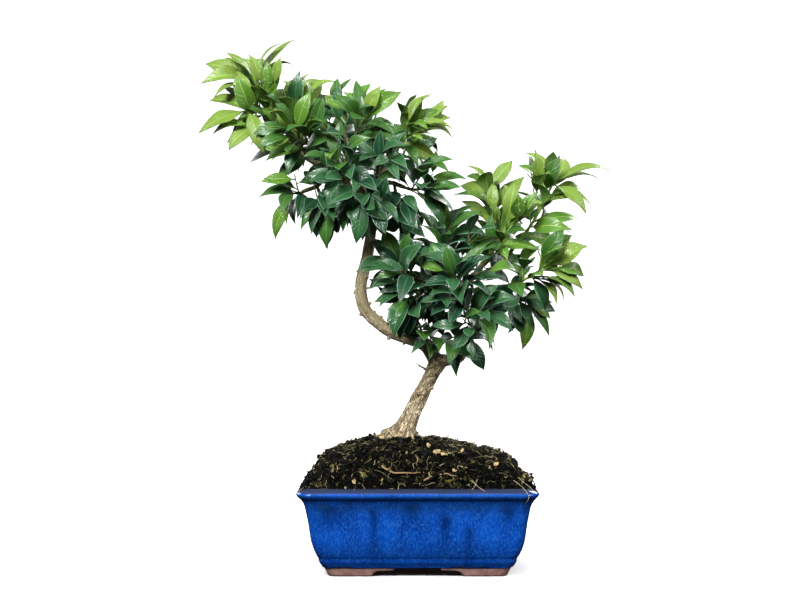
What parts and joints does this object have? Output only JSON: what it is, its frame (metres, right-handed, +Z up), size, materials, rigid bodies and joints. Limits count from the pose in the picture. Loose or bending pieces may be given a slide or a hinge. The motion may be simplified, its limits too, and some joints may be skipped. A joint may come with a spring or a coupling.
{
  "type": "myrtle-leaf orange bonsai",
  "caption": "Small evergreen citrus tree trained as a bonsai, with a leaning trunk that forks, open masses of pointed leaves, in a glazed rectangular pot on clay feet.",
  "frame": {"origin": "on the ground under the middle of the whole plant's bounding box", "axes": "+Z up from the feet to the top of the crown, -Y towards the viewer of the pot's long front side, +X to the right"},
  "size_m": [0.348, 0.1836, 0.458],
  "materials": {
    "glaze": "glossy cobalt blue glaze with fine lighter flecks",
    "clay": "bare fired clay, pinkish brown",
    "soil": "dark moist peat with root fibres",
    "bark": "tan bark with fine upright fissures, greenish on young wood",
    "leaf": "satin evergreen leaves, yellow-green when young"
  },
  "bodies": {
    "root": {"pot": "glaze", "foot_front_left": "clay", "foot_front_right": "clay", "foot_back_left": "clay", "foot_back_right": "clay", "soil": "soil", "trunk": "bark", "leader_lower": "bark", "leader_upper": "bark", "bough_right": "bark", "bough_top_left": "bark", "bough_top_right": "bark", "bough_top_back": "bark", "bough_front": "bark", "bough_left_low": "bark", "bough_top_middle": "bark", "bough_shoulder": "bark", "bough_back_right": "bark", "bough_back_low": "bark", "bough_right_high": "bark", "bough_right_far": "bark", "bough_right_side": "bark", "bough_right_front": "bark", "bough_inner": "bark", "bough_right_back": "bark", "foliage_top_left_tip": "leaf", "foliage_top_left_low": "leaf", "foliage_top_left_crest": "leaf", "foliage_top_left_front": "leaf", "foliage_top_left_inner": "leaf", "foliage_top_middle": "leaf", "foliage_middle": "leaf", "foliage_top_right": "leaf", "foliage_shoulder": "leaf", "foliage_shoulder_low": "leaf", "foliage_front": "leaf", "foliage_front_high": "leaf", "foliage_left_low": "leaf", "foliage_left_under": "leaf", "foliage_back_left": "leaf", "foliage_back_top": "leaf", "foliage_back_right": "leaf", "foliage_back_low": "leaf", "foliage_right_top": "leaf", "foliage_right_crest": "leaf", "foliage_right_middle": "leaf", "foliage_right_side": "leaf", "foliage_right_low": "leaf", "foliage_right_foot": "leaf", "foliage_right_front": "leaf", "foliage_inner_low": "leaf", "foliage_inner_left": "leaf", "foliage_inner_front": "leaf", "foliage_inner_crest": "leaf", "foliage_inner_top": "leaf", "foliage_right_back": "leaf", "foliage_right_back_low": "leaf", "foliage_inner_back": "leaf", "foliage_fork_sprout": "leaf", "foliage_fork_leaves": "leaf"}
  },
  "joints": []
}
